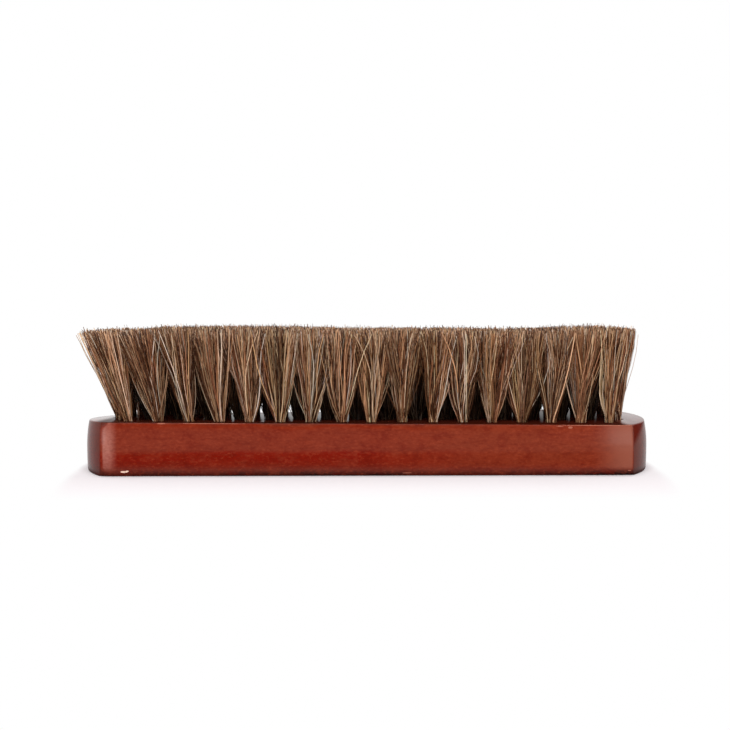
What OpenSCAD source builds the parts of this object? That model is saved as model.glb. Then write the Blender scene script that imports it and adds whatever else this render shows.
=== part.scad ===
// Shoe shine brush: a lacquered wooden block with five rows of drilled horsehair tufts.
// It lies on its back with the hair up. X runs along the block, the near side faces -Y,
// and the origin is the centre of the flat back face.

/* [Block] */
// Length of the block at its fullest
block_l = 172; // [150:1:200]
// Width of the block at its fullest
block_w = 50; // [46:1:60]
// Thickness of the block
block_t = 15.5; // [13:0.5:20]
// Radius of the curved ends, seen from above
end_r = 40; // [36:1:70]
// How far the top edge lies inside the fullest part of the sides
side_sag = 0.8; // [0.3:0.1:1.4]
// Height of the fullest part of the sides above the back face
belly_z = 7; // [5:0.5:8]
// Rounding of the edge round the back face
back_round = 1.2; // [0.5:0.1:2.5]

/* [Holes] */
// Diameter of the blind hole for a tuft
bore_d = 3.8; // [3.2:0.1:4.6]
// Depth of the holes
bore_depth = 9; // [6:0.5:11]
// Side of the block to the holes of the near and the far row
side_margin = 8.4; // [7.5:0.1:10]
// Tufts in the near, the middle and the far row
odd_row_tufts = 17; // [13:1:18]
// Tufts in the two rows between
even_row_tufts = 18; // [14:1:19]
// Block end to the end hole in the near row
near_row_margin = 14.2; // [13:0.1:18]
// Block end to the end hole in the second and the fourth row
even_row_margin = 10.8; // [10:0.1:15]
// Block end to the end hole in the middle row
middle_row_margin = 9.9; // [8:0.1:15]
// Block end to the end hole in the far row
far_row_margin = 13.4; // [13:0.1:18]
// How far the holes wander to the right in the middle of a row
drill_drift = 0.9; // [0:0.1:1.2]
// How far a row of holes may sit to the left or the right as a whole
row_wander = 0.9; // [0:0.1:1.2]

/* [Hair] */
// Free length of the hair above the block
hair_l = 27; // [18:0.5:40]
// Gap between the folded root of a tuft and the wall of its hole
root_fit = 0.1; // [0.05:0.05:0.3]
// Least gap between two tufts at their tips
tuft_gap = 0.5; // [0.4:0.1:1.2]
// Lean of the tufts at the left end, in degrees
left_splay = 16; // [0:1:20]
// Lean of the tufts at the right end, in degrees
right_splay = 6; // [0:1:20]
// Lean of the near and the far row towards their sides, in degrees
side_splay = 5; // [0:1:8]
// Height at which a tuft has opened out, as a share of its free length
open_height = 0.55; // [0.4:0.05:0.7]
// How much the trimmed tips differ in height
tip_ragged = 0.8; // [0:0.1:1.5]

/* [Anchors] */
// Thickness of the flat anchor wire
wire_t = 0.45; // [0.3:0.05:0.7]
// Height of the flat anchor wire
wire_h = 1.6; // [1:0.1:2.2]
// How far each end of the wire bites into the wood
wire_bite = 0.3; // [0.1:0.05:0.6]
// Gap beside the wire in the hair and in the wood
wire_fit = 0.05; // [0.03:0.01:0.1]
// Hair folded under the wire
fold_t = 0.7; // [0.4:0.1:1.2]
// Angle of the wires to the length of the block, so that they don't split the grain
wire_turn = 45; // [0:5:90]

/* [Hidden] */

// Number of sides of a drawn circle, and of a drawn hole
fine = 96;
hole_sides = 32;
// Steps round the back edge, and up the bulging side
round_steps = 6;
side_steps = 14;
// Overrun of a cut beyond the face it opens
over = 1;

row_tufts = [odd_row_tufts, even_row_tufts, odd_row_tufts, even_row_tufts, odd_row_tufts];
row_margin = [near_row_margin, even_row_margin, middle_row_margin, even_row_margin, far_row_margin];
// Where the drill template sat for each row
row_shift = row_wander * [0.7, 1, -0.7, 0.1, -0.8];
middle_row = (len(row_tufts) - 1) / 2;
row_pitch = (block_w / 2 - side_margin) / middle_row;

// The side of the block is an arc through the belly line and the top edge
belly_rise = block_t - belly_z;
side_r = (belly_rise * belly_rise + side_sag * side_sag) / (2 * side_sag);

// Locks that a tuft parts into, the angle that each takes, the turn from tuft to tuft,
// and how many such turns lie between two rows
locks = 5;
lock_angle = 360 / locks;
lock_turn = 137.5;
row_turns = 3;
// Share of its sector that a lock fills where the tuft has opened, and at the tips
lock_fill_open = 0.94;
lock_fill_tip = 0.9;
// Width of a tuft where it has opened, as a share of its width at the tips
open_share = 0.86;
// The tips of leaning hair follow an arc of this radius
trim_r = 2 * hair_l;
// Angles that step round the circle unevenly, so that no two tips near each other match
uneven_step = 78;
uneven_swing = 31;
// Steps in a tip's number from row to row and from tuft to tuft
row_step = 97;
tuft_step = 11;

root_r = bore_d / 2 - root_fit;
root_z = block_t - bore_depth;
wire_l = bore_d + 2 * wire_bite;
wire_z = root_z + fold_t;

// Place of a hole along its row, as a share from -1 at the left end to 1 at the right end
function hole_share(row, i) = 2 * i / (row_tufts[row] - 1) - 1;
function row_reach(row) = block_l / 2 - row_margin[row];
function hole_x(row, i) =
    let (t = hole_share(row, i))
    row_reach(row) * t + row_shift[row] + drill_drift * (1 - t * t);
function hole_y(row) = (row - middle_row) * row_pitch;

// Sideways travel of a tuft's tip: it grows towards the ends of the row and towards the sides
function lean_x(row, i) =
    let (t = hole_share(row, i), splay = t < 0 ? left_splay : right_splay)
    hair_l * tan(splay) * t * t * t;
function lean_y(row) =
    let (s = (row - middle_row) / middle_row)
    hair_l * tan(side_splay) * s * abs(s);

// Half the closest spacing in a row, which the drift narrows at one end
function half_pitch(row) =
    let (gaps = row_tufts[row] - 1)
    row_reach(row) / gaps - 2 * drill_drift * (gaps - 1) / (gaps * gaps);

// Half the room that a tuft has at its tips, along the row and across it
function room(row) = [half_pitch(row), row_pitch / 2] - tuft_gap / 2 * [1, 1];

// Point at angle a on the outline of an opened tuft, which is a rectangle with well rounded corners
function outline(half, a) =
    let (r = pow(pow(cos(a), 4) + pow(sin(a), 4), -1 / 4))
    r * [half[0] * cos(a), half[1] * sin(a), 0];

// Fixed but uneven spread between 0 and 1 for the tip heights
function spread(n) = (1 + sin(uneven_step * n) * cos(uneven_swing * n)) / 2;

// Height of a tip above the block, lower where the hair leans further
function tip_height(reach, n) = hair_l - reach * reach / (2 * trim_r) - tip_ragged * spread(n);

// Corners of one lock at one level: the tuft's axis and two points of its outline,
// drawn in to the lock's own centre by the share fill
function lock_corners(axis, half, a, fill) =
    let (corners = [axis, axis + outline(half, a), axis + outline(half, a + lock_angle)],
         centre = (corners[0] + corners[1] + corners[2]) / 3)
    [for (c = corners) centre + fill * (c - centre)];

// A lock has two upper levels of three corners, and a tuft has a foot, a mouth and its middle
points_per_lock = 6;
points_per_tuft = 2 * locks + 1 + points_per_lock * locks;

// The two upper levels of one lock that starts at angle a, as three corners each
function lock_points(mouth, lean, half, a, n) =
    let (opened = mouth + open_height * (lean + [0, 0, hair_l]),
         reach = norm(lean + outline(half, a + lock_angle / 2) / 2),
         tip = mouth + lean + [0, 0, tip_height(reach, n)])
    concat(
        lock_corners(opened, open_share * half, a, lock_fill_open),
        lock_corners(tip, half, a, lock_fill_tip));

// All points of a tuft: its root at the foot and at the mouth of the hole, the middle of the
// mouth, and then the locks
function tuft_points(row, i) =
    let (foot = [hole_x(row, i), hole_y(row), root_z],
         mouth = [foot[0], foot[1], block_t],
         lean = [lean_x(row, i), lean_y(row), 0],
         angles = [for (k = [0:locks - 1]) lock_turn * (i + row_turns * row) + lock_angle * k],
         root = [for (a = angles) root_r * [cos(a), sin(a), 0]])
    concat(
        [for (p = root) foot + p],
        [for (p = root) mouth + p],
        [mouth],
        [for (k = [0:locks - 1])
            each lock_points(mouth, lean, room(row), angles[k], row_step * row + tuft_step * i + k)]);

// Two triangles for each side of a band between two rings of points, given by their numbers
function band(lower, upper) =
    let (n = len(lower))
    [for (k = [0:n - 1])
        let (m = (k + 1) % n)
        each [[lower[k], upper[k], upper[m]], [lower[k], upper[m], lower[m]]]];

// All faces of the tuft whose points begin at number start
function tuft_faces(start) =
    let (foot = [for (k = [0:locks - 1]) start + k],
         mouth = [for (k = [0:locks - 1]) start + locks + k],
         axis = start + 2 * locks)
    concat(
        [for (k = [1:locks - 2]) [foot[0], foot[k], foot[k + 1]]],
        band(foot, mouth),
        [for (k = [0:locks - 1])
            let (base = [axis, mouth[k], mouth[(k + 1) % locks]],
                 first = axis + 1 + points_per_lock * k,
                 opened = [first, first + 1, first + 2],
                 tip = [first + 3, first + 4, first + 5])
            each concat(band(base, opened), band(opened, tip), [[tip[0], tip[2], tip[1]]])]);

// Points along an arc about a centre, from one angle to another
function arc(centre, r, from, to, steps) =
    [for (k = [0:steps])
        let (a = from + (to - from) * k / steps)
        centre + r * [cos(a), sin(a)]];

// One side of the block's section, from the flat back round the back edge and up the bulging
// side to the flat top
function side_points(half_w) =
    let (side_centre = [half_w - side_r, belly_z],
         round_x = side_centre[0] + sqrt(pow(side_r - back_round, 2) - pow(belly_z - back_round, 2)),
         meet = atan2(back_round - belly_z, round_x - side_centre[0]),
         bulge = arc(side_centre, side_r, meet, asin(belly_rise / side_r), side_steps))
    concat(
        arc([round_x, back_round], back_round, -90, meet, round_steps),
        [for (k = [1:side_steps]) bulge[k]]);

// The block's section across its length
module section() {
    right = side_points(block_w / 2);
    polygon(concat(right, [for (k = [len(right) - 1:-1:0]) [-right[k][0], right[k][1]]]));
}

// What is cut off beyond the curved end
module end_waste() {
    difference() {
        translate([block_l / 2 - end_r, -block_w, -over])
            cube([end_r + over, 2 * block_w, block_t + 2 * over]);
        translate([block_l / 2 - end_r, 0, 0])
            rotate_extrude($fn = 4 * fine)
                polygon(concat([[0, 0]], side_points(end_r), [[0, block_t]]));
    }
}

module wooden_block() {
    color([0.5, 0.17, 0.08])
    difference() {
        rotate([90, 0, 90])
            linear_extrude(block_l + 2 * over, center = true)
                section();
        end_waste();
        mirror([1, 0, 0])
            end_waste();
        for (row = [0:len(row_tufts) - 1])
            for (i = [0:row_tufts[row] - 1])
                translate([hole_x(row, i), hole_y(row), 0]) {
                    translate([0, 0, root_z])
                        cylinder(d = bore_d, h = bore_depth + over, $fn = hole_sides);
                    wire_room();
                }
    }
}

// Space for an anchor wire, in the wood and through the folded hair
module wire_room() {
    rotate(wire_turn)
        translate([-wire_l / 2, -wire_t / 2 - wire_fit, wire_z])
            cube([wire_l, wire_t + 2 * wire_fit, wire_h + wire_fit]);
}

// The tufts of one row, each folded round its anchor wire
module tuft_row(row) {
    color([0.46, 0.33, 0.23])
    difference() {
        polyhedron(
            points = [for (i = [0:row_tufts[row] - 1]) each tuft_points(row, i)],
            faces = [for (i = [0:row_tufts[row] - 1]) each tuft_faces(i * points_per_tuft)]);
        for (i = [0:row_tufts[row] - 1])
            translate([hole_x(row, i), hole_y(row), 0])
                wire_room();
    }
}

// The anchor wires of one row
module anchor_row(row) {
    color([0.72, 0.72, 0.74])
    for (i = [0:row_tufts[row] - 1])
        translate([hole_x(row, i), hole_y(row), wire_z])
            rotate(wire_turn)
                translate([-wire_l / 2, -wire_t / 2, 0])
                    cube([wire_l, wire_t, wire_h]);
}

wooden_block();
tuft_row(0);  // tuft_row_1
tuft_row(1);  // tuft_row_2
tuft_row(2);  // tuft_row_3
tuft_row(3);  // tuft_row_4
tuft_row(4);  // tuft_row_5
anchor_row(0);  // anchor_row_1
anchor_row(1);  // anchor_row_2
anchor_row(2);  // anchor_row_3
anchor_row(3);  // anchor_row_4
anchor_row(4);  // anchor_row_5
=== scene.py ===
# Shoe shine brush: the lacquered block and the hair of its tufts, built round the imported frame.
# Lengths are written in millimetres and drawn in metres. X runs along the block, the near side
# faces -Y, and Z is up.

import math

import bmesh
import bpy
import numpy as np
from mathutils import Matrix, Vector


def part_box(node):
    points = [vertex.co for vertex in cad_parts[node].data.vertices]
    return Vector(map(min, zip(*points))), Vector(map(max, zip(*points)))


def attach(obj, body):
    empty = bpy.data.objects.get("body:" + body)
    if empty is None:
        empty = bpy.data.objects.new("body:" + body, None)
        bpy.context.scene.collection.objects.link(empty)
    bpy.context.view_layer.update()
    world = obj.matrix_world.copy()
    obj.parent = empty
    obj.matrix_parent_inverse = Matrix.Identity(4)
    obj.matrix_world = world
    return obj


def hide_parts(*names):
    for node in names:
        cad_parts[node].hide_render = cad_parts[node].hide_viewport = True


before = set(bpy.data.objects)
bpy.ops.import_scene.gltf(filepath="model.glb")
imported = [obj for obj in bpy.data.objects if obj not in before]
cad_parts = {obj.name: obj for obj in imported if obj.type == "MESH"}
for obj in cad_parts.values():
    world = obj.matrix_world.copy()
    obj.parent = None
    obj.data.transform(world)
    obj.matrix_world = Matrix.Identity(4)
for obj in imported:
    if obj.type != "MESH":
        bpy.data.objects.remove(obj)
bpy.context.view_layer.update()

MM = 0.001

BLOCK = "wooden_block"
TUFT_ROWS = sorted(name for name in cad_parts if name.startswith("tuft_row"))
ANCHOR_ROWS = sorted(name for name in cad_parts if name.startswith("anchor_row"))

block_low, block_high = (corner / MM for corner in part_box(BLOCK))
BLOCK_TOP = block_high.z
HALF_LENGTH = (block_high.x - block_low.x) / 2
HALF_WIDTH = (block_high.y - block_low.y) / 2
HAIR_LENGTH = max(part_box(name)[1].z for name in TUFT_ROWS) / MM - BLOCK_TOP


# Small helpers

WHITE = (1.0, 1.0, 1.0)
# Sockets of the mix node when it mixes colours
MIX_FACTOR = 0
MIX_FIRST = 6
MIX_SECOND = 7
MIX_RESULT = 2


def new_mesh_object(name, vertices, faces):
    """A mesh object from points in millimetres."""
    mesh = bpy.data.meshes.new(name)
    mesh.from_pydata([tuple(MM * c for c in v) for v in vertices], [], faces)
    mesh.update()
    piece = bpy.data.objects.new(name, mesh)
    bpy.context.scene.collection.objects.link(piece)
    return piece


class Nodes:
    """Short calls for building the nodes of one material or world."""

    def __init__(self, owner, output="ShaderNodeOutputMaterial"):
        owner.use_nodes = True
        self.owner = owner
        self.tree = owner.node_tree
        self.tree.nodes.clear()
        self.output = self.add(output)

    def feed(self, value, socket):
        """Links the output of another node to a socket, or sets the socket to a plain value."""
        if isinstance(value, bpy.types.NodeSocket):
            self.tree.links.new(value, socket)
        elif socket.type == "RGBA":
            socket.default_value = (*value, 1)
        else:
            socket.default_value = value

    def add(self, kind, inputs=None, **settings):
        """A new node, with its inputs fed by name or by number."""
        node = self.tree.nodes.new(kind)
        for key, value in settings.items():
            setattr(node, key, value)
        for key, value in (inputs or {}).items():
            self.feed(value, node.inputs[key])
        return node

    def split(self, vector):
        """The x, y and z of a vector."""
        return self.add("ShaderNodeSeparateXYZ", {0: vector}).outputs

    def math(self, operation, first, second=0.0, clamp=False):
        inputs = {0: first, 1: second}
        return self.add("ShaderNodeMath", inputs, operation=operation, use_clamp=clamp).outputs[0]

    def product(self, *factors):
        result = factors[0]
        for factor in factors[1:]:
            result = self.math("MULTIPLY", result, factor)
        return result

    def rise(self, source, low, high, start=0.0, end=1.0):
        """A smooth step: start where the source is below low, end where it is above high."""
        inputs = {"Value": source, "From Min": low, "From Max": high, "To Min": start, "To Max": end}
        return self.add("ShaderNodeMapRange", inputs, interpolation_type="SMOOTHSTEP").outputs["Result"]

    def over(self, place, span, start=0.0, end=1.0):
        """The same step over a span in millimetres."""
        return self.rise(place, MM * span[0], MM * span[1], start, end)

    def under(self, place, span):
        """A step down from 1 to 0 over a span in millimetres."""
        return self.over(place, span, 1.0, 0.0)

    def pattern(self, place, repeats, detail, roughness):
        """Noise that repeats so many times per metre along x, y and z."""
        stretched = self.add("ShaderNodeMapping", {"Vector": place, "Scale": repeats}).outputs["Vector"]
        inputs = {"Vector": stretched, "Scale": 1.0, "Detail": detail, "Roughness": roughness}
        return self.add("ShaderNodeTexNoise", inputs).outputs["Fac"]

    def ramp(self, source, stops):
        """Colours in between the stops, each a place from 0 to 1 and a colour."""
        node = self.add("ShaderNodeValToRGB", {"Fac": source})
        elements = node.color_ramp.elements
        while len(elements) < len(stops):
            elements.new(0.5)
        for element, (position, colour) in zip(elements, stops):
            element.position = position
            element.color = (*colour, 1)
        return node.outputs["Color"]

    def mix(self, factor, first, second):
        """The first colour where the factor is 0, the second where it is 1."""
        inputs = {MIX_FACTOR: factor, MIX_FIRST: first, MIX_SECOND: second}
        return self.add("ShaderNodeMix", inputs, data_type="RGBA").outputs[MIX_RESULT]

    def bump(self, height, distance, strength):
        inputs = {"Height": height, "Distance": distance, "Strength": strength}
        return self.add("ShaderNodeBump", inputs).outputs["Normal"]

    def seen(self):
        """1 for what the camera sees itself, in a reflection or through glass."""
        path = self.add("ShaderNodeLightPath").outputs
        seen = self.math("MAXIMUM", path["Is Camera Ray"], path["Is Glossy Ray"])
        return self.math("MAXIMUM", seen, path["Is Transmission Ray"])

    def finish_with(self, shader):
        self.feed(shader.outputs[0], self.output.inputs["Surface"])

    def principled(self, **values):
        """Ends the material in one principled shader."""
        inputs = {key.replace("_", " "): value for key, value in values.items()}
        self.finish_with(self.add("ShaderNodeBsdfPrincipled", inputs))

    def blend(self, factor, first, second):
        """Ends the material or world in a blend of two shaders."""
        inputs = {0: factor, 1: first.outputs[0], 2: second.outputs[0]}
        self.finish_with(self.add("ShaderNodeMixShader", inputs))


# Wood: colours

# Stain and painted shade by height in millimetres above the flat back: dark at the lower edge,
# which is painted shade of the rounded underside; deep red low on the side, browner above
STAIN_AND_SHADE_HEIGHT = 16
STAIN_AND_SHADE = [
    (0.64, (0.012, 0.004, 0.003)),
    (1.2, (0.05, 0.010, 0.007)),
    (1.92, (0.125, 0.019, 0.011)),
    (3.04, (0.165, 0.010, 0.003)),
    (4.96, (0.182, 0.0045, 0.0004)),
    (6.72, (0.188, 0.0065, 0.0008)),
    (7.92, (0.188, 0.0225, 0.0085)),
    (13.44, (0.188, 0.0225, 0.0085)),
    (14.4, (0.196, 0.016, 0.0025)),
    (15.28, (0.130, 0.022, 0.0085)),
]
# How far the clouds shift the stain up or down, and from which height on
STAIN_WAVER = 3.5
WAVER_FROM = (2, 5)
# To the right the stain is plain, the same at all heights above the lower edge
PLAIN_STAIN = (0.202, 0.0285, 0.0098)
PLAIN_SHARE = 0.85
PLAIN_X = (-5, 45)
PLAIN_Z = (1.4, 3.6)

# Patterns in the wood: repeats per metre along, across and up, detail, roughness
PATTERNS = {
    "clouds": ((55, 110, 160), 3, 0.6),
    "grain": ((110, 900, 900), 4, 0.65),
    "flecks": ((900, 1700, 1700), 3, 0.65),
    "blots": ((260, 340, 340), 3, 0.6),
    "rags": ((2200, 2200, 2200), 2, 0.6),
}
PATTERN_MIDDLE = 0.5
# What the patterns do to the stain: between which of their values the share of a colour changes,
# that share before and after, and the colour
MOTTLING = [
    ("clouds", (0.35, 0.65), (0.0, 0.3), (0.23, 0.024, 0.007)),
    ("blots", (0.3, 0.5), (0.45, 0.0), (0.12, 0.004, 0.0005)),
    ("blots", (0.5, 0.72), (0.0, 0.35), (0.235, 0.034, 0.014)),
    ("grain", (0.45, 0.75), (0.0, 0.45), (0.12, 0.008, 0.002)),
    ("flecks", (0.5, 0.72), (0.0, 0.36), (0.31, 0.05, 0.019)),
    ("flecks", (0.32, 0.48), (0.32, 0.0), (0.11, 0.005, 0.001)),
]

# Lighter band at the left corner: partly wear, partly a painted highlight
LEFT_WORN_AND_HIGHLIGHT = (0.44, 0.17, 0.13)
LEFT_WORN_AND_HIGHLIGHT_SHARE = 0.72
# Painted highlight: lighter towards the right end of the near side
RIGHT_HIGHLIGHT = (0.28, 0.082, 0.05)
RIGHT_HIGHLIGHT_SHARE = 0.9
# Painted shade: the end faces are darker, as they get less light
END_FACE_SHADE = (0.05, 0.010, 0.006)
END_FACE_SHADE_SHARE = 0.5
RED_CORNER = (0.12, 0.007, 0.0015)
RED_CORNER_SHARE = 0.8
RIGHT_TOP = (0.05, 0.020, 0.018)
RIGHT_TOP_SHARE = 0.45
# Painted shade: between the tufts the top face is dark
FIELD_SHADE = (0.030, 0.005, 0.0025)
FIELD_SHADE_SHARE = 0.88
BARE_WOOD = (0.93, 0.66, 0.52)
# Colour of the scuffs, and of the painted highlight lines along the top edge
SCUFF_AND_EDGE_HIGHLIGHT = (0.36, 0.115, 0.07)

# Wood: places of its masks, as spans in millimetres over which each of them grows or fades

TOP_EDGE = (15.1, 15.4)
TOP_FACE = (15.2, 15.5)
LEFT_END = (-78.0, -77.4)
RIGHT_END = (77.4, 78.0)
NEAR_SIDE = (-22, -20)
ABOVE_LOWER_EDGE = (1.2, 3)
# The band at the left corner, partly wear and partly a painted highlight: where it starts and
# ends, and its strength low and high on it
LEFT_BAND_START = (-77.3, -76.5)
LEFT_BAND_END = (-75.7, -72.3)
LEFT_BAND_LOW = (2, 7)
LEFT_BAND_LOW_SHARE = 0.55
LEFT_BAND_HIGH = (10.5, 14.8)
LEFT_BAND_HIGH_SHARE = 0.6
# Flecks break it up: values between which its strength changes, and from what to what
LEFT_BAND_FLECKS = (0.35, 0.6)
LEFT_BAND_FLECK_SHARES = (0.75, 1.05)
# Its outer edge bends inwards near the upper and near the lower edge: over what height, how far
BEND_HIGH = (13.2, 15.4)
BEND_HIGH_BY = 1.6
BEND_LOW = (0.6, 2.8)
BEND_LOW_BY = 1.4
# Where that painted highlight grows towards the right end and where it stops at the corner
RIGHT_BAND_START = (65, 76.5)
RIGHT_BAND_END = (77.2, 77.6)
# The upper corner of the right end stays red above a line with this slope
RED_CORNER_SLOPE = 1.1
RED_CORNER_SPAN = (-78.0, -74.5)
# Two bands along the sides that shine less
LOW_BAND_START = (2.2, 4)
LOW_BAND_END = (6.2, 7.8)
HIGH_BAND_START = (12.5, 13.8)
HIGH_BAND_END = (14.9, 15.3)
RIGHT_TOP_SPAN = (60, 78)
FIELD_START = (-81.5, -77.5)
FIELD_END = (73.8, 77.2)

# Chips and scuffs of the near side, and painted highlight lines along its top edge: x and z of
# the middle, half width and half height, colour
CHIPS_AND_EDGE_HIGHLIGHTS = [
    (-70.8, 1.45, 1.00, 0.28, BARE_WOOD),
    (-69.8, 1.60, 0.50, 0.22, BARE_WOOD),
    (11.7, 0.95, 1.50, 0.12, SCUFF_AND_EDGE_HIGHLIGHT),
    (59.2, 14.60, 0.65, 0.35, SCUFF_AND_EDGE_HIGHLIGHT),
    (56.2, 14.90, 1.00, 0.12, SCUFF_AND_EDGE_HIGHLIGHT),
    (-59.7, 15.20, 1.40, 0.18, SCUFF_AND_EDGE_HIGHLIGHT),
    (76.5, 1.50, 0.50, 0.15, SCUFF_AND_EDGE_HIGHLIGHT),
    # The last two: painted highlight lines along the top edge
    (67.0, 15.26, 11.50, 0.11, SCUFF_AND_EDGE_HIGHLIGHT),
    (-45.0, 15.26, 10.00, 0.08, SCUFF_AND_EDGE_HIGHLIGHT),
]
MARK_EDGE = (0.7, 1.1)
MARK_RAGGED = 2.0

# Wood: how much each mask takes from the shine of the lacquer

END_GRAIN_DULL = 0.42
RED_CORNER_DULL = 0.5
LOW_BAND_DULL = 0.6
HIGH_BAND_DULL = 0.3
RIGHT_TOP_DULL = 0.14
# Between the tufts more at the near side than at the far one, and more to the right
FIELD_DULL_Y = (-22, 18)
FIELD_DULL_SHARES = (0.68, 0.44)
FIELD_DULL_X = (0, 40)
FIELD_DULL_RIGHT = 0.24
# At the very foot of the block the shine is down to this share
FOOT = (0.4, 1.4)
FOOT_SHINE = 0.3
WOOD_ROUGHNESS = 0.5
LACQUER_ROUGHNESS = 0.12
LACQUER_IOR = 1.2
# The clouds also make the surface a little uneven
DENT_DEPTH = 0.2
DENT_STRENGTH = 0.25


def stained_and_shaded(n, x, z, patterns):
    """Colour of the wood before the masks, with painted shade at its lower edge."""
    cloud = n.math("SUBTRACT", patterns["clouds"], PATTERN_MIDDLE)
    waver = n.math("MULTIPLY", cloud, MM * STAIN_WAVER)
    height = n.math("ADD", z, n.math("MULTIPLY", waver, n.over(z, WAVER_FROM)))
    stops = [(place / STAIN_AND_SHADE_HEIGHT, tone) for place, tone in STAIN_AND_SHADE]
    colour = n.ramp(n.math("DIVIDE", height, MM * STAIN_AND_SHADE_HEIGHT), stops)
    plain = n.product(n.over(x, PLAIN_X), n.over(z, PLAIN_Z), PLAIN_SHARE)
    colour = n.mix(plain, colour, PLAIN_STAIN)
    for name, values, shares, tone in MOTTLING:
        colour = n.mix(n.rise(patterns[name], *values, *shares), colour, tone)
    return colour


def wood_masks(n, x, z, patterns):
    """Masks of wear, painted highlights, painted shade, end grain and zones that shine less."""
    bend_high = n.over(z, BEND_HIGH, 0.0, MM * BEND_HIGH_BY)
    bend_low = n.over(z, BEND_LOW, MM * BEND_LOW_BY, 0.0)
    bent_x = n.math("SUBTRACT", x, n.math("ADD", bend_high, bend_low))
    above_edge = n.over(z, ABOVE_LOWER_EDGE)
    below_top = n.under(z, TOP_EDGE)
    on_top = n.over(z, TOP_FACE)
    ends = n.math("ADD", n.over(x, RIGHT_END), n.under(bent_x, LEFT_END))
    end_grain = n.product(ends, below_top)
    side = n.math("SUBTRACT", 1.0, end_grain)
    over_line = n.math("SUBTRACT", z, n.math("MULTIPLY", x, RED_CORNER_SLOPE))
    return {
        "left_band": n.product(
            n.under(x, LEFT_BAND_END),
            n.over(bent_x, LEFT_BAND_START),
            above_edge,
            n.over(z, LEFT_BAND_LOW, LEFT_BAND_LOW_SHARE, 1.0),
            n.over(z, LEFT_BAND_HIGH, 1.0, LEFT_BAND_HIGH_SHARE),
            n.rise(patterns["flecks"], *LEFT_BAND_FLECKS, *LEFT_BAND_FLECK_SHARES),
        ),
        "right_band": n.product(n.over(x, RIGHT_BAND_START), n.under(x, RIGHT_BAND_END), above_edge),
        "end_grain": end_grain,
        "red_corner": n.product(n.over(over_line, RED_CORNER_SPAN), n.over(x, RIGHT_END), below_top),
        "low_band": n.product(n.over(z, LOW_BAND_START), n.under(z, LOW_BAND_END), side),
        "high_band": n.product(n.over(z, HIGH_BAND_START), n.under(z, HIGH_BAND_END), side),
        "right_top": n.product(n.over(x, RIGHT_TOP_SPAN), on_top),
        "field": n.product(n.over(x, FIELD_START), n.under(x, FIELD_END), on_top),
    }


def worn_and_painted_light(n, masks, colour):
    """The colour with wear and painted highlights at the corners, painted shade on the end grain,
    and the top face with painted shade between the tufts.
    """
    for name, share, tone in (
        ("left_band", LEFT_WORN_AND_HIGHLIGHT_SHARE, LEFT_WORN_AND_HIGHLIGHT),
        ("right_band", RIGHT_HIGHLIGHT_SHARE, RIGHT_HIGHLIGHT),
        ("end_grain", END_FACE_SHADE_SHARE, END_FACE_SHADE),
        ("red_corner", RED_CORNER_SHARE, RED_CORNER),
        ("right_top", RIGHT_TOP_SHARE, RIGHT_TOP),
        ("field", FIELD_SHADE_SHARE, FIELD_SHADE),
    ):
        colour = n.mix(n.math("MULTIPLY", masks[name], share), colour, tone)
    return colour


def chipped_and_highlighted(n, x, z, near_side, patterns, colour):
    """The colour with the chips and scuffs of the near side, and painted highlight lines along its
    top edge, all with ragged edges.
    """
    rags = n.math("SUBTRACT", patterns["rags"], PATTERN_MIDDLE)
    rags = n.math("MULTIPLY", rags, MARK_RAGGED)
    for mark_x, mark_z, half_x, half_z, tone in CHIPS_AND_EDGE_HIGHLIGHTS:
        across = n.math("DIVIDE", n.math("SUBTRACT", x, MM * mark_x), MM * half_x)
        up = n.math("DIVIDE", n.math("SUBTRACT", z, MM * mark_z), MM * half_z)
        apart = n.math("ADD", n.product(across, across), n.product(up, up))
        apart = n.math("ADD", apart, rags)
        mark = n.product(n.rise(apart, *MARK_EDGE, 1.0, 0.0), near_side)
        colour = n.mix(mark, colour, tone)
    return colour


def shine(n, x, y, z, masks):
    """How much lacquer there is, from 0 to 1."""
    field_dull = n.math(
        "ADD",
        n.over(y, FIELD_DULL_Y, *FIELD_DULL_SHARES),
        n.over(x, FIELD_DULL_X, 0.0, FIELD_DULL_RIGHT),
    )
    lacquer = 1.0
    for name, dull in (
        ("end_grain", END_GRAIN_DULL),
        ("red_corner", RED_CORNER_DULL),
        ("low_band", LOW_BAND_DULL),
        ("high_band", HIGH_BAND_DULL),
        ("right_top", RIGHT_TOP_DULL),
        ("field", field_dull),
    ):
        lacquer = n.math("SUBTRACT", lacquer, n.math("MULTIPLY", masks[name], dull), clamp=True)
    return n.product(lacquer, n.over(z, FOOT, FOOT_SHINE, 1.0))


def wood_material():
    """Wood with a mahogany stain under a glossy lacquer, with a little wear at the left near corner.
    Painted highlights lie at the near corners and along the top edge, painted shade at the lower
    edge, on the end grain and between the tufts. The end grain shines less."""
    n = Nodes(bpy.data.materials.new("lacquered_wood"))
    place = n.add("ShaderNodeTexCoord").outputs["Object"]
    x, y = n.split(place)[:2]
    z = n.add("ShaderNodeAttribute", attribute_name="colour_height").outputs["Fac"]
    patterns = {name: n.pattern(place, *settings) for name, settings in PATTERNS.items()}
    masks = wood_masks(n, x, z, patterns)
    colour = worn_and_painted_light(n, masks, stained_and_shaded(n, x, z, patterns))
    n.principled(
        Base_Color=chipped_and_highlighted(n, x, z, n.under(y, NEAR_SIDE), patterns, colour),
        Roughness=WOOD_ROUGHNESS,
        Specular_IOR_Level=0.0,
        Coat_Weight=shine(n, x, y, z, masks),
        Coat_Roughness=LACQUER_ROUGHNESS,
        Coat_IOR=LACQUER_IOR,
        Normal=n.bump(patterns["clouds"], MM * DENT_DEPTH, DENT_STRENGTH),
    )
    return n.owner


# Other materials

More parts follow.
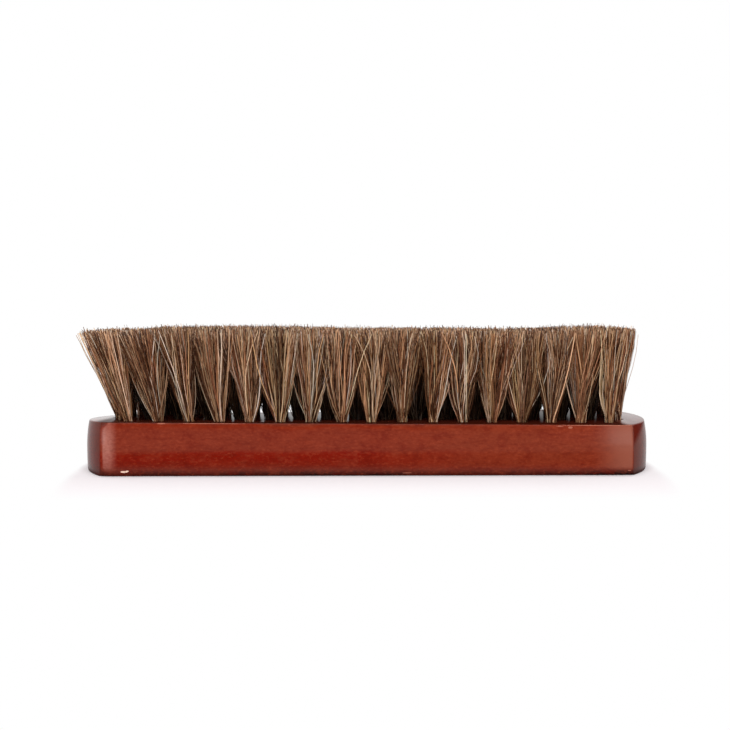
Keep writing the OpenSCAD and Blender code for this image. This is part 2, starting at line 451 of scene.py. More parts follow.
HAIR_ROUGHNESS = 0.4
HAIR_SPECULAR = 0.1
STEEL_ROUGHNESS = 0.35
STEEL_LINES = ((400, 400, 9000), 2, 0.5)
STEEL_TONES = [(0.3, (0.42, 0.41, 0.40)), (0.7, (0.62, 0.61, 0.60))]

FLOOR_COLOUR = (0.77, 0.735, 0.745)
# Near the brush the floor glows in this colour: painted soft shade and pink light from the wood
FLOOR_GLOW = (0.945, 0.895, 0.918)
# How the floor fades to white, in millimetres from the middle of the brush. Beside its ends the
# fade starts later and is steeper.
FLOOR_FROM = 79
FLOOR_STEEP = 6.5
FLOOR_FADE = (40, 66)
FLOOR_OWN_LIGHT = 0.6
# Next to the block the floor has less light of its own: within how far, and how much
FLOOR_CONTACT = (0, 3.2)
FLOOR_CONTACT_LIGHT = 0.4


def hair_material():
    """Natural horsehair, whose colour differs from hair to hair; its colour attribute also holds the
    painted light and shade along the hairs.
    """
    n = Nodes(bpy.data.materials.new("horsehair"))
    shade = n.add("ShaderNodeAttribute", attribute_name="hair_colour_and_shade").outputs["Color"]
    n.principled(Base_Color=shade, Roughness=HAIR_ROUGHNESS, Specular_IOR_Level=HAIR_SPECULAR)
    return n.owner


def steel_material():
    """Bare flat steel wire, drawn along its length."""
    n = Nodes(bpy.data.materials.new("anchor_steel"))
    place = n.add("ShaderNodeTexCoord").outputs["Object"]
    tone = n.ramp(n.pattern(place, *STEEL_LINES), STEEL_TONES)
    n.principled(Base_Color=tone, Metallic=1.0, Roughness=STEEL_ROUGHNESS)
    return n.owner


def floor_material():
    """Pale floor that fades to plain white away from the brush and keeps its shadow. Near the brush
    its glow is tinted with painted shade and pink light from the wood.
    """
    n = Nodes(bpy.data.materials.new("floor"))
    x, y = n.split(n.add("ShaderNodeNewGeometry").outputs["Position"])[:2]
    out_x = n.math("ABSOLUTE", x)
    out_y = n.math("ABSOLUTE", y)
    square_y = n.product(y, y)

    beside = n.math("MAXIMUM", n.math("SUBTRACT", out_x, MM * FLOOR_FROM), 0.0)
    beside = n.math("MULTIPLY", beside, FLOOR_STEEP)
    apart = n.math("SQRT", n.math("ADD", n.product(beside, beside), square_y))
    faded = n.over(apart, FLOOR_FADE)
    own_light = n.over(apart, FLOOR_FADE, FLOOR_OWN_LIGHT, 1.0)

    past = n.math("SUBTRACT", out_x, MM * (HALF_LENGTH - END_RADIUS))
    past = n.math("MAXIMUM", past, 0.0)
    from_end = n.math("SQRT", n.math("ADD", n.product(past, past), square_y))
    from_end = n.math("SUBTRACT", from_end, MM * END_RADIUS)
    from_side = n.math("SUBTRACT", out_y, MM * HALF_WIDTH)
    gap = n.math("MAXIMUM", from_end, from_side)
    own_light = n.product(own_light, n.over(gap, FLOOR_CONTACT, FLOOR_CONTACT_LIGHT, 1.0))

    diffuse = n.add("ShaderNodeBsdfDiffuse", {"Color": FLOOR_COLOUR})
    glow = n.add("ShaderNodeEmission", {"Color": n.mix(faded, FLOOR_GLOW, WHITE), "Strength": 1})
    n.blend(n.product(n.seen(), own_light), diffuse, glow)
    return n.owner


# Block

# As in the construction
END_RADIUS = 40
SIDE_SAG = 0.8
BELLY_Z = 7
BACK_ROUND = 1.2
# Below the belly the ends draw in less than the sides and are rounded less, by these shares
END_SAG_SHARE = 0.2
END_ROUND_SHARE = 0.35
TOP_ROUND = 0.35
LEFT_CORNER = 0.9
RIGHT_CORNER = 0.6
# Near each end the long sides turn inwards a little: how deep, and by how many degrees
LEFT_TURN = (0.7, 18)
RIGHT_TURN = (0.35, 5)
# The top face isn't quite level: how much higher it lies at the left and the right end of
# each long side
NEAR_EDGE_RISE = (0.55, -0.75)
FAR_EDGE_RISE = (-1.9, -0.5)
# The radius of a bore is this much larger than that of its tuft, and the cutter stands this
# far out of the top face
BORE_GAP = 0.1
BORE_OVER = 1
SHARP_DEGREES = 35

# Steps in which each stretch of the block is drawn
BACK_STEPS = 6
SIDE_STEPS = 16
TOP_STEPS = 4
STRAIGHT_STEPS = 12
TURN_STEPS = 14
CORNER_STEPS = 10
END_STEPS = 24
BORE_STEPS = 24


def side_inset(z):
    """How far the side of the block lies inside its fullest outline at height z."""
    rise = BLOCK_TOP - BELLY_Z
    side_radius = (rise * rise + SIDE_SAG * SIDE_SAG) / (2 * SIDE_SAG)
    return side_radius - math.sqrt(side_radius * side_radius - (z - BELLY_Z) ** 2)


def end_inset(z):
    """The same for the ends, which are straighter below the belly."""
    return side_inset(z) * (END_SAG_SHARE if z < BELLY_Z else 1)


def block_profile():
    """(side inset, end inset, height) of the loops from the flat back face to the flat top face."""
    steps = []
    for k in range(BACK_STEPS + 1):
        a = math.radians(90 * k / BACK_STEPS)
        rounded = BACK_ROUND * (1 - math.sin(a))
        side = rounded + side_inset(BACK_ROUND)
        end = END_ROUND_SHARE * rounded + end_inset(BACK_ROUND)
        steps.append((side, end, BACK_ROUND * (1 - math.cos(a))))
    side_end = BLOCK_TOP - TOP_ROUND
    for k in range(1, SIDE_STEPS):
        z = BACK_ROUND + (side_end - BACK_ROUND) * k / SIDE_STEPS
        steps.append((side_inset(z), end_inset(z), z))
    for k in range(TOP_STEPS + 1):
        a = math.radians(90 * k / TOP_STEPS)
        inset = side_inset(side_end) + TOP_ROUND * (1 - math.cos(a))
        steps.append((inset, inset, side_end + TOP_ROUND * math.sin(a)))
    return steps


def quarter_outline(inset, end, corner, turn):
    """Outline from the middle of a long side round the corner to the middle of the end."""
    depth, degrees = turn
    slope = math.radians(degrees)
    side_y = HALF_WIDTH - inset
    radius = END_RADIUS - end
    centre_x = HALF_LENGTH - END_RADIUS

    # The corner's circle touches the sloping side and, from inside, the arc of the end
    edge_y = side_y - depth
    edge_x = math.sqrt(radius * radius - edge_y * edge_y)
    start_x = edge_x - corner * math.sin(slope)
    start_y = edge_y - corner * math.cos(slope)
    along = start_x * math.cos(slope) - start_y * math.sin(slope)
    rest = start_x * start_x + start_y * start_y - (radius - corner) ** 2
    back = -along + math.sqrt(along * along - rest)
    corner_x = start_x + back * math.cos(slope)
    corner_y = start_y - back * math.sin(slope)

    # The long side is straight, then turns along a parabola to the start of the corner
    last_x = centre_x + corner_x + corner * math.sin(slope)
    drop = side_y - corner_y - corner * math.cos(slope)
    turn_x = last_x - 2 * drop / math.tan(slope)
    points = [(turn_x * k / STRAIGHT_STEPS, side_y) for k in range(STRAIGHT_STEPS)]
    for k in range(TURN_STEPS):
        s = k / TURN_STEPS
        points.append((turn_x + (last_x - turn_x) * s, side_y - drop * s * s))

    first = math.radians(90) - slope
    last = math.atan2(corner_y, corner_x)
    for k in range(CORNER_STEPS + 1):
        a = first + (last - first) * k / CORNER_STEPS
        points.append((centre_x + corner_x + corner * math.cos(a), corner_y + corner * math.sin(a)))
    for k in range(1, END_STEPS + 1):
        a = last * (1 - k / END_STEPS)
        points.append((centre_x + radius * math.cos(a), radius * math.sin(a)))
    return points


def block_loop(inset, end, z):
    """One closed loop of the block at height z."""
    right = quarter_outline(inset, end, RIGHT_CORNER, RIGHT_TURN)
    left = quarter_outline(inset, end, LEFT_CORNER, LEFT_TURN)
    loop = [(x, y, z) for x, y in right]
    loop += [(x, -y, z) for x, y in reversed(right[:-1])]
    loop += [(-x, -y, z) for x, y in left[1:]]
    loop += [(-x, y, z) for x, y in reversed(left[1:-1])]
    return loop


def block_shell():
    """The closed outer form of the block, without its bores."""
    loops = [block_loop(*step) for step in block_profile()]
    count = len(loops[0])
    vertices = [v for loop in loops for v in loop]
    faces = [tuple(reversed(range(count)))]
    for level in range(len(loops) - 1):
        for k in range(count):
            a = level * count + k
            b = level * count + (k + 1) % count
            faces.append((b, a, a + count, b + count))
    faces.append(tuple(range(len(vertices) - count, len(vertices))))
    shell = new_mesh_object("lacquered_block", vertices, faces)
    bm = bmesh.new()
    bm.from_mesh(shell.data)
    bmesh.ops.recalc_face_normals(bm, faces=bm.faces)
    bm.to_mesh(shell.data)
    bm.free()
    return shell


def bore_cutter(tufts):
    """An upright cylinder for the hole of each tuft."""
    vertices = []
    faces = []
    angles = [2 * math.pi * k / BORE_STEPS for k in range(BORE_STEPS)]
    for tuft in tufts:
        first = len(vertices)
        x, y, floor = tuft["foot"]
        radius = tuft["radius"] + BORE_GAP
        for z in (floor, BLOCK_TOP + BORE_OVER):
            vertices += [(x + radius * math.cos(a), y + radius * math.sin(a), z) for a in angles]
        faces.append(tuple(first + k for k in reversed(range(BORE_STEPS))))
        faces.append(tuple(first + BORE_STEPS + k for k in range(BORE_STEPS)))
        for k in range(BORE_STEPS):
            a = first + k
            b = first + (k + 1) % BORE_STEPS
            faces.append((a, b, b + BORE_STEPS, a + BORE_STEPS))
    return new_mesh_object("bore_cutter", vertices, faces)


def warp_top(mesh):
    """Notes the height of each vertex for the colours and their painted shade, then tilts the
    upper part of the block.
    """
    points = np.zeros(len(mesh.vertices) * 3)
    mesh.vertices.foreach_get("co", points)
    points = points.reshape(-1, 3)
    layer = mesh.attributes.new("colour_height", "FLOAT", "POINT")
    layer.data.foreach_set("value", points[:, 2].copy())
    along = (points[:, 0] / MM - block_low.x) / (block_high.x - block_low.x)
    across = (points[:, 1] / MM - block_low.y) / (block_high.y - block_low.y)
    near = NEAR_EDGE_RISE[0] + (NEAR_EDGE_RISE[1] - NEAR_EDGE_RISE[0]) * along
    far = FAR_EDGE_RISE[0] + (FAR_EDGE_RISE[1] - FAR_EDGE_RISE[0]) * along
    share = np.clip((points[:, 2] / MM - BELLY_Z) / (BLOCK_TOP - BELLY_Z), 0, 1)
    points[:, 2] += MM * share * (near * (1 - across) + far * across)
    mesh.vertices.foreach_set("co", points.ravel())
    mesh.update()


def make_block(tufts, material):
    """The block: bulging sides, curved ends, rounded edges and a blind hole for each tuft."""
    piece = block_shell()
    cutter = bore_cutter(tufts)
    cut = piece.modifiers.new("bores", "BOOLEAN")
    cut.operation = "DIFFERENCE"
    cut.solver = "EXACT"
    cut.object = cutter
    evaluated = piece.evaluated_get(bpy.context.evaluated_depsgraph_get())
    mesh = bpy.data.meshes.new_from_object(evaluated)
    piece.modifiers.clear()
    piece.data = mesh
    bpy.data.objects.remove(cutter)
    warp_top(mesh)
    mesh.shade_smooth()
    mesh.set_sharp_from_angle(angle=math.radians(SHARP_DEGREES))
    mesh.materials.clear()
    mesh.materials.append(material)
    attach(piece, "root")
    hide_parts(BLOCK)


# Hair

HAIRS_PER_TUFT = 220
HAIR_SIDES = 3
HAIR_RADIUS = 0.095
HAIR_RADIUS_SPREAD = 0.3
# Share of the radius at the root and at the tip
HAIR_TAPER = (1.05, 0.75)
# Share of the free length at which each level of a hair lies; the first is down in the hole
LEVELS = np.array([-0.24, 0, 0.08, 0.18, 0.3, 0.44, 0.6, 0.8, 1.0])
# The start of each row's random draws, from the near row to the far one
SEEDS = (23, 38, 39, 40, 41)

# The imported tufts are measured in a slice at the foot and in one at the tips
FOOT_SLICE = 0.05
TIP_SLICE = 2
SAME_POINT_DIGITS = 3

# Near row and inner rows: how much of the bore the root fills, how far the tips spread along the
# brush, and whether the hairs spread soon (below 1) or late
NEAR_ROOT_SHARE = 0.8
INNER_ROOT_SHARE = 1.0
NEAR_SPREAD_X = 7.6
INNER_SPREAD_X = 9.2
NEAR_FLARE = 1.06
INNER_FLARE = 0.97
LEAN_FLARE = 1.04
# Across the brush: how far the tips spread, and what no hair passes
SPREAD_Y = 5.4
SIDE_LIMIT = 25.9
# The first and the last tuft of a row: width of the outer half of the root, how far the tips
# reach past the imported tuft, and how far hairs may bow outwards. Elsewhere BOW_LIMIT holds.
LEFT_END_ROOTS = 0.6
RIGHT_END_ROOTS = 0.6
LEFT_SPARE = 0.2
RIGHT_SPARE = -1.6
LEFT_BOW_LIMIT = 0.5
RIGHT_BOW_LIMIT = 0.25
BOW_LIMIT = 3.0

# Locks stand at this angle from one to the next, so that they fill the mouth of the bore evenly
LOCKS_PER_TUFT = 15
LOCK_DEGREES = 137.5
# How much angle and reach differ within a lock at the root, and between locks and within them at
# the tips
ROOT_TURN = 0.32
ROOT_REACH = 0.14
LEAST_ROOT_REACH = 0.02
TIP_LOCK_TURN = 0.25
TIP_HAIR_TURN = 0.26
TIP_REACH_POWER = 0.75
TIP_LOCK_REACH = (0.8, 1.08)
TIP_HAIR_REACH = 0.13
# How far locks and single hairs bow aside, and how far they wave
LOCK_BOW = 0.55
HAIR_BOW = 0.38
LOCK_WAVE = 0.28
HAIR_WAVE = 0.2

# Strays: how many, how far they bow and end beside their tuft, how thick and how often pale
STRAY_SHARE = 0.06
STRAY_BOW = 1.3
STRAY_REACH = 3.2
STRAY_TIP_SHARE = 0.9
STRAY_THICKER = 1.3
STRAY_PALE_SHARE = 0.7

# Height of the tips: how ragged, how many stand out and by how much, and what no tip passes
TIP_RAGGED = 2.1
TIP_LONG_SHARE = 0.12
TIP_LONG = 1.0
TIP_LIMIT = 1.1
# A hair that leans stands lower
LEAN_FALL = 0.0875
# How much the tips stand above or below the mean, along the brush
TIP_LINE_X = [-70, -63, -40, -20, -4, 30, 42, 55, 68, 77, 82]
TIP_LINE = [0.0, 0.6, 0.6, 0.4, -0.1, -0.1, -0.4, -0.2, 0.4, 0.3, 0.0]
# At the far left the tips end lower: how much, from how far beside the root, over what width
LEFT_DROP = 2.2
LEFT_DROP_FROM = 10.5
LEFT_DROP_OVER = 5.0
LEFT_DROP_POWER = 1.5

# Painted light and shade along each hair: how light each level of a hair is
LEVEL_SHADE = np.array([0.35, 1.2, 1.18, 1.1, 1.02, 1.04, 1.21, 1.03, 0.68])
# Painted shade on the rows behind the near one, deeper towards their roots
INNER_SHADE = np.array([0.14, 0.14, 0.15, 0.21, 0.36, 0.64, 0.92, 1.0, 1.0])
# Shares of that shade in the first and the last tuft of a row, and in the far row
END_TUFT_SHADED = 0.25
FAR_ROW_SHADED = 0.5
# Painted light: the first and the last tuft, lit from outside, are lighter by this factor
END_TUFT_PAINTED_LIGHT = 1.2

# Natural horsehair: dark brown, brown, light brown, tan, blonde, grey and reddish brown
PALETTE = np.array([
    (0.046, 0.016, 0.007),
    (0.150, 0.060, 0.027),
    (0.31, 0.150, 0.074),
    (0.58, 0.330, 0.178),
    (0.85, 0.59, 0.385),
    (0.64, 0.52, 0.41),
    (0.25, 0.098, 0.046),
])
SHARES = np.array([0.29, 0.22, 0.17, 0.15, 0.10, 0.03, 0.06])
# Which of them the pale strays have
PALE = [3, 4, 4, 5]
# How many hairs share the colour of their lock, how light locks and hairs are, and how much the
# red, green and blue of the locks differ
LOCK_LIKENESS = 0.15
LOCK_TONE = 0.22
HAIR_TONE = (0.6, 1.4)
MOST_TONE = 1.7
LOCK_TINT = (0.03, 0.03, 0.05)
# No colour is brighter than this before and after the levels are shaded
BRIGHTEST = 0.85
BRIGHTEST_SHADED = 0.9

# Within a hair's square of the texture: where its sides start, how large they are, and its tip
BAKE_SIDES_FROM = (0.08, 0.06)
BAKE_SIDES_SIZE = (0.84, 0.80)
BAKE_TIP = ((0.1, 0.9), (0.9, 0.9), (0.5, 0.96))


def measure_tufts(name):
    """Foot, radius, tip centre and half size of each tuft of a row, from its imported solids."""
    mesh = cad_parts[name].data
    corners = np.array([v.co for v in mesh.vertices]) / MM
    points, same = np.unique(corners.round(SAME_POINT_DIGITS), axis=0, return_inverse=True)
    same = same.ravel()
    parent = list(range(len(points)))

    def root_of(k):
        while parent[k] != k:
            parent[k] = parent[parent[k]]
            k = parent[k]
        return k

    for edge in mesh.edges:
        a, b = (root_of(same[k]) for k in edge.vertices)
        parent[a] = b
    groups = {}
    for k in range(len(points)):
        groups.setdefault(root_of(k), []).append(k)
    found = []
    for group in groups.values():
        p = points[group]
        low = p[p[:, 2] < p[:, 2].min() + FOOT_SLICE]
        high = p[p[:, 2] > p[:, 2].max() - TIP_SLICE]
        foot = (low.min(axis=0) + low.max(axis=0)) / 2
        radius = np.linalg.norm(low[:, :2] - foot[:2], axis=1).max()
        tip = (high.min(axis=0) + high.max(axis=0)) / 2
        half = (high.max(axis=0) - high.min(axis=0)) / 2
        found.append({"foot": foot, "radius": radius, "tip": tip, "half": half})
    return sorted(found, key=lambda t: t["foot"][0])


def tuft_form(row, number, near):
    """How a tuft of a row spreads. Pairs are for its left and its right side. The first and the
    last tuft keep to the outline of the brush."""
    spread = NEAR_SPREAD_X if near else INNER_SPREAD_X
    form = {
        "root_share": NEAR_ROOT_SHARE if near else INNER_ROOT_SHARE,
        "flare": NEAR_FLARE if near else INNER_FLARE,
        "roots": [1, 1],
        "tips": [spread, spread],
        "bows": [-BOW_LIMIT, BOW_LIMIT],
        "drop": 0,
    }
    half = row[number]["half"][0]
    if number == 0:
        form["roots"][0] = LEFT_END_ROOTS
        form["tips"][0] = half + LEFT_SPARE
        form["bows"][0] = -LEFT_BOW_LIMIT
        form["drop"] = LEFT_DROP
    if number == len(row) - 1:
        form["roots"][1] = RIGHT_END_ROOTS
        form["tips"][1] = half + RIGHT_SPARE
        form["bows"][1] = RIGHT_BOW_LIMIT
    return form


def lock_rays(rng):
    """Angle and reach of the locks of a tuft, spread evenly over its round mouth."""
    order = np.arange(LOCKS_PER_TUFT) + rng.uniform(0, 1, LOCKS_PER_TUFT)
    angle = order * math.radians(LOCK_DEGREES) + rng.uniform(0, 2 * math.pi)
    return angle, np.sqrt(order / LOCKS_PER_TUFT)


def ray_ends(reach, angle, widths):
    """Points at these reaches and angles, as wide to the left and to the right as widths says."""
    points = reach[:, None] * np.stack([np.cos(angle), np.sin(angle)], axis=1)
    points[:, 0] *= np.where(points[:, 0] < 0, *widths)
    return points


def root_points(tuft, form, angle, reach, rng):
    """Where the hairs leave the bore, from its middle, given the rays of their locks."""
    angle = angle + rng.normal(0, ROOT_TURN, HAIRS_PER_TUFT)
    reach = np.clip(reach + rng.normal(0, ROOT_REACH, HAIRS_PER_TUFT), LEAST_ROOT_REACH, 1)
    return ray_ends(reach * tuft["radius"] * form["root_share"], angle, form["roots"])


def tip_points(form, lock, lock_angle, lock_reach, rng):
    """Where the hairs end, from the middle of the tuft's tip."""
    angle = (lock_angle + rng.normal(0, TIP_LOCK_TURN, LOCKS_PER_TUFT))[lock]
    angle += rng.normal(0, TIP_HAIR_TURN, HAIRS_PER_TUFT)
    reach = (lock_reach ** TIP_REACH_POWER * rng.uniform(*TIP_LOCK_REACH, LOCKS_PER_TUFT))[lock]
    reach = np.abs(reach + rng.normal(0, TIP_HAIR_REACH, HAIRS_PER_TUFT))
    points = ray_ends(reach, angle, form["tips"])
    points[:, 1] *= SPREAD_Y
    return points


def swing(lock, lock_swing, hair_swing, rng):
    """How far each hair swings in x and y: partly with its lock, partly by itself."""
    with_lock = rng.normal(0, lock_swing, (LOCKS_PER_TUFT, 2))[lock]
    return with_lock + rng.normal(0, hair_swing, (HAIRS_PER_TUFT, 2))


def tip_heights(tuft, aside, drop, rng):
    """How high each tip stands above the block, given how far aside of the foot it ends."""
    fall = LEAN_FALL * np.linalg.norm(aside, axis=1) ** 2 / HAIR_LENGTH
    top = HAIR_LENGTH - TIP_RAGGED * rng.uniform(0, 1, HAIRS_PER_TUFT) ** 2 - fall
    top += np.interp(tuft["foot"][0] + aside[:, 0], TIP_LINE_X, TIP_LINE)
    longer = TIP_LONG * rng.uniform(0, 1, HAIRS_PER_TUFT)
    top += longer * (rng.uniform(0, 1, HAIRS_PER_TUFT) < TIP_LONG_SHARE)
    top = np.minimum(top, HAIR_LENGTH + TIP_LIMIT)
    leftmost = np.clip((-aside[:, 0] - LEFT_DROP_FROM) / LEFT_DROP_OVER, 0, 1)
    return top - drop * leftmost ** LEFT_DROP_POWER


def grow_tuft(tuft, form, rng):
    """Centre lines of one tuft's hairs, as an array of hairs by levels by xyz, the lock of each
    hair and whether it strays."""
    lock_angle, lock_reach = lock_rays(rng)
    lock = rng.integers(0, LOCKS_PER_TUFT, HAIRS_PER_TUFT)
    root = root_points(tuft, form, lock_angle[lock], lock_reach[lock], rng)
    tip = tip_points(form, lock, lock_angle, lock_reach, rng)
    bow = swing(lock, LOCK_BOW, HAIR_BOW, rng)
    wave = swing(lock, LOCK_WAVE, HAIR_WAVE, rng)
    stray = rng.uniform(0, 1, HAIRS_PER_TUFT) < STRAY_SHARE
    bow[stray] += rng.normal(0, STRAY_BOW, (stray.sum(), 2))
    tip[stray] = (tip[stray] + rng.normal(0, STRAY_REACH, (stray.sum(), 2))) * STRAY_TIP_SHARE

    left, right = form["bows"]
    bow[:, 0] = np.clip(bow[:, 0], left, right)
    tip[:, 0] = np.clip(tip[:, 0], left - form["tips"][0], right + form["tips"][1])
    tip[:, 1] = np.clip(tip[:, 1], -SIDE_LIMIT - tuft["tip"][1], SIDE_LIMIT - tuft["tip"][1])
    lean = (tuft["tip"] - tuft["foot"])[:2]
    top = tip_heights(tuft, tip + lean, form["drop"], rng)

    lines = np.zeros((HAIRS_PER_TUFT, len(LEVELS), 3))
    for k, level in enumerate(LEVELS):
        rise = max(level, 0)
        side = root + (tip - root) * rise ** form["flare"] + lean * rise ** LEAN_FLARE
        side = side + bow * math.sin(math.pi * rise) + wave * math.sin(2 * math.pi * rise)
        lines[:, k, :2] = tuft["foot"][:2] + side
        lines[:, k, 2] = BLOCK_TOP + (top if level > 0 else HAIR_LENGTH) * level
    lines[:, :, 1] = np.clip(lines[:, :, 1], -SIDE_LIMIT, SIDE_LIMIT)
    return lines, lock, stray


def capped(colours, brightest):
    """Colours made darker where one of their channels is above the brightest."""
    return colours / np.maximum(colours.max(axis=-1, keepdims=True) / brightest, 1)


def hair_colours(locks, strays, rng):
    """One colour per hair from the mix of natural horsehair; hairs of a lock are often alike."""
    hairs = len(locks)
    lock_count = locks.max() + 1
    shares = SHARES / SHARES.sum()
    own = rng.choice(len(PALETTE), size=hairs, p=shares)
    shared = rng.choice(len(PALETTE), size=lock_count, p=shares)[locks]
    tone = rng.lognormal(0, LOCK_TONE, lock_count)[locks] * rng.uniform(*HAIR_TONE, hairs)
    picks = np.where(rng.uniform(0, 1, hairs) < LOCK_LIKENESS, shared, own)
    pale = strays & (rng.uniform(0, 1, hairs) < STRAY_PALE_SHARE)
    picks = np.where(pale, rng.choice(PALE, size=hairs), picks)
    tint = rng.lognormal(0, LOCK_TINT, (lock_count, 3))[locks]
    return capped(PALETTE[picks] * np.minimum(tone, MOST_TONE)[:, None] * tint, BRIGHTEST)


def tuft_shade(row_shaded, at_end):
    """The painted light and shade of each level of a tuft's hairs."""
    shaded = row_shaded * (END_TUFT_SHADED if at_end else 1)
    painted_light = END_TUFT_PAINTED_LIGHT if at_end else 1
    return painted_light * LEVEL_SHADE * (1 - shaded * (1 - INNER_SHADE))


def tube_corners(lines, radius, turn):
    """Corners of the tubes round the hairs, as an array of hairs by levels by sides by xyz."""
    along = np.gradient(lines, axis=1)
    along /= np.linalg.norm(along, axis=2, keepdims=True)
    across = np.cross(along, np.array([0, 1, 0]))
    across /= np.linalg.norm(across, axis=2, keepdims=True)
    other = np.cross(along, across)
    taper = np.linspace(*HAIR_TAPER, len(LEVELS))
    corners = np.zeros((len(lines), len(LEVELS), HAIR_SIDES, 3))
    for k in range(HAIR_SIDES):
        a = (turn + 2 * math.pi * k / HAIR_SIDES)[:, None, None]
        offset = across * np.cos(a) + other * np.sin(a)
        corners[:, :, k] = lines + offset * radius[:, None, None] * taper[None, :, None]
    return corners


def tube_mesh(name, corners):
    """The tubes as one mesh: first the four-sided faces of all hairs, then their tips."""
    hairs, levels, sides = corners.shape[:3]
    ring = np.arange(sides)
    base = np.arange(levels - 1)[:, None] * sides
    low = base + ring
    low_next = base + (ring + 1) % sides
    quads = np.stack([low, low_next, low_next + sides, low + sides], axis=2).reshape(-1, 4)
    starts = (np.arange(hairs) * levels * sides)[:, None, None]
    quads = (starts + quads[None]).reshape(-1, 4)
    caps = starts[:, 0] + (levels - 1) * sides + ring[None]

    mesh = bpy.data.meshes.new(name)
    mesh.vertices.add(hairs * levels * sides)
    mesh.vertices.foreach_set("co", (corners * MM).ravel())
    mesh.loops.add(quads.size + caps.size)
    mesh.loops.foreach_set("vertex_index", np.concatenate([quads.ravel(), caps.ravel()]))
    mesh.polygons.add(len(quads) + len(caps))
    quad_starts = np.arange(len(quads)) * 4
    cap_starts = quads.size + np.arange(len(caps)) * sides
    mesh.polygons.foreach_set("loop_start", np.concatenate([quad_starts, cap_starts]))
    mesh.update(calc_edges=True)
    mesh.validate()
    mesh.shade_smooth()
    return mesh


def bake_cells(hairs):
    """One small square of the texture for each hair: its sides, then its tip above them."""
    across = math.ceil(math.sqrt(hairs))
    cell = np.stack([np.arange(hairs) % across, np.arange(hairs) // across], axis=1) / across
    steps = len(LEVELS) - 1
    level, side = np.meshgrid(np.arange(steps), np.arange(HAIR_SIDES), indexing="ij")
    u = np.stack([side, side + 1, side + 1, side], axis=2) / HAIR_SIDES
    v = np.stack([level, level, level + 1, level + 1], axis=2) / steps
    sides = BAKE_SIDES_FROM + np.stack([u, v], axis=3) * BAKE_SIDES_SIZE
    sides = sides.reshape(1, -1, 2) / across
    tip = np.array([BAKE_TIP]) / across
    return np.concatenate([(cell[:, None] + sides).ravel(), (cell[:, None] + tip).ravel()])


def make_row(name, row, material, seed):
    """All hair of one row as one mesh of thin tubes."""
    rng = np.random.default_rng(seed)
    near = name == TUFT_ROWS[0]
    row_shaded = {TUFT_ROWS[0]: 0, TUFT_ROWS[-1]: FAR_ROW_SHADED}.get(name, 1)
    parts = []
    for k, tuft in enumerate(row):
        lines, lock, stray = grow_tuft(tuft, tuft_form(row, k, near), rng)
        shade = tuft_shade(row_shaded, k in (0, len(row) - 1))
        shade = np.broadcast_to(shade, (HAIRS_PER_TUFT, len(LEVELS)))
        parts.append((lines, lock + k * LOCKS_PER_TUFT, stray, shade))
    lines, locks, strays, shades = (np.concatenate(part) for part in zip(*parts))

    hairs = len(lines)
    thicker = np.where(strays, STRAY_THICKER, 1)
    radius = HAIR_RADIUS * rng.lognormal(0, HAIR_RADIUS_SPREAD, hairs) * thicker
    turn = rng.uniform(0, 2 * math.pi, hairs)
    mesh = tube_mesh(name + "_hair", tube_corners(lines, radius, turn))
    mesh.uv_layers.new(name="OFBake").data.foreach_set("uv", bake_cells(hairs))

    colours = hair_colours(locks, strays, rng)[:, None] * shades[:, :, None]
    colours = np.repeat(capped(colours, BRIGHTEST_SHADED).reshape(-1, 3), HAIR_SIDES, axis=0)
    layer = mesh.color_attributes.new("hair_colour_and_shade", "FLOAT_COLOR", "POINT")
    layer.data.foreach_set("color", np.column_stack([colours, np.ones(len(colours))]).ravel())

    piece = bpy.data.objects.new(name + "_hair", mesh)
    bpy.context.scene.collection.objects.link(piece)
    mesh.materials.append(material)
    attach(piece, "root")
    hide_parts(name)


# Studio

# Half the width of the floor
FLOOR_HALF = 3000
# Lamps: place, width and height, and power in watts. All of them face the target.
LAMPS = {
    "key_light": ((0, 160, 620), (900, 420), 4.6),
    "front_light": ((0, -620, 620), (900, 420), 6.6),
    "right_light": ((300, -640, 60), (200, 260), 0.5),
    "left_light": ((-520, -480, 60), (200, 260), 0.7),
}
LAMP_TARGET = (0, 0, 20)
# How strong the white surroundings are as a light
WORLD_LIGHT = 0.08
# Where the camera stands, how many degrees it looks down, and its roll in radians
CAMERA_PLACE = (-0.42, -374.2, 52.5)
CAMERA_DOWN_DEGREES = 3.28
CAMERA_ROLL = 0.0025
CAMERA_LENS = 59.6
CAMERA_SENSOR = 36
CAMERA_CLIP = 10


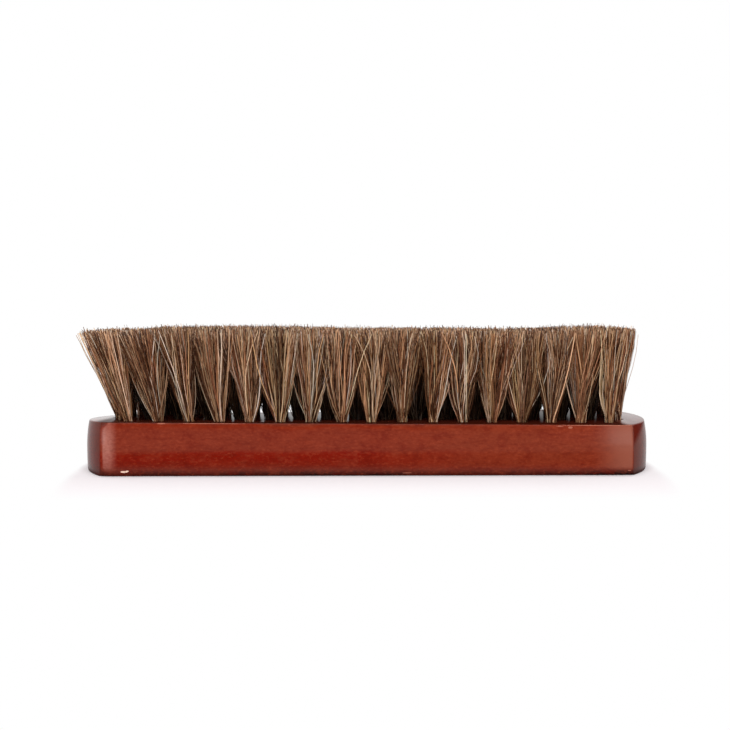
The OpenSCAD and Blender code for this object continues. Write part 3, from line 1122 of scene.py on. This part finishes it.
def make_floor(material):
    """The pale surface that the brush lies on."""
    size = FLOOR_HALF
    corners = [(-size, -size, 0), (size, -size, 0), (size, size, 0), (-size, size, 0)]
    floor = new_mesh_object("floor", corners, [(0, 1, 2, 3)])
    floor.data.materials.append(material)


def area_light(name, place, size, power):
    """A soft rectangular lamp that faces the target."""
    data = bpy.data.lights.new(name, "AREA")
    data.shape = "RECTANGLE"
    data.size = size[0] * MM
    data.size_y = size[1] * MM
    data.energy = power
    lamp = bpy.data.objects.new(name, data)
    lamp.location = Vector(place) * MM
    lamp.rotation_euler = (Vector(place) - Vector(LAMP_TARGET)).to_track_quat("Z", "Y").to_euler()
    bpy.context.scene.collection.objects.link(lamp)


def make_world():
    """White where the camera or a reflection sees it, softer as a light."""
    n = Nodes(bpy.data.worlds.new("studio"), "ShaderNodeOutputWorld")
    soft = n.add("ShaderNodeBackground", {"Color": WHITE, "Strength": WORLD_LIGHT})
    white = n.add("ShaderNodeBackground", {"Color": WHITE, "Strength": 1})
    n.blend(n.seen(), soft, white)
    bpy.context.scene.world = n.owner


def make_camera():
    """The photograph's viewpoint: a little above the hair, almost square to the near side."""
    data = bpy.data.cameras.new("camera")
    data.sensor_width = CAMERA_SENSOR
    data.lens = CAMERA_LENS
    data.clip_start = CAMERA_CLIP * MM
    camera = bpy.data.objects.new("camera", data)
    camera.location = Vector(CAMERA_PLACE) * MM
    camera.rotation_euler = (math.radians(90 - CAMERA_DOWN_DEGREES), CAMERA_ROLL, 0)
    bpy.context.scene.collection.objects.link(camera)
    bpy.context.scene.camera = camera


make_camera()
make_world()
make_floor(floor_material())
for name, settings in LAMPS.items():
    area_light(name, *settings)

rows = {name: measure_tufts(name) for name in TUFT_ROWS}
make_block([tuft for row in rows.values() for tuft in row], wood_material())
hair = hair_material()
for name, seed in zip(TUFT_ROWS, SEEDS):
    make_row(name, rows[name], hair, seed)
steel = steel_material()
for row in ANCHOR_ROWS:
    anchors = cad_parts[row]
    anchors.data.materials.clear()
    anchors.data.materials.append(steel)

bpy.context.scene.view_settings.view_transform = "Standard"
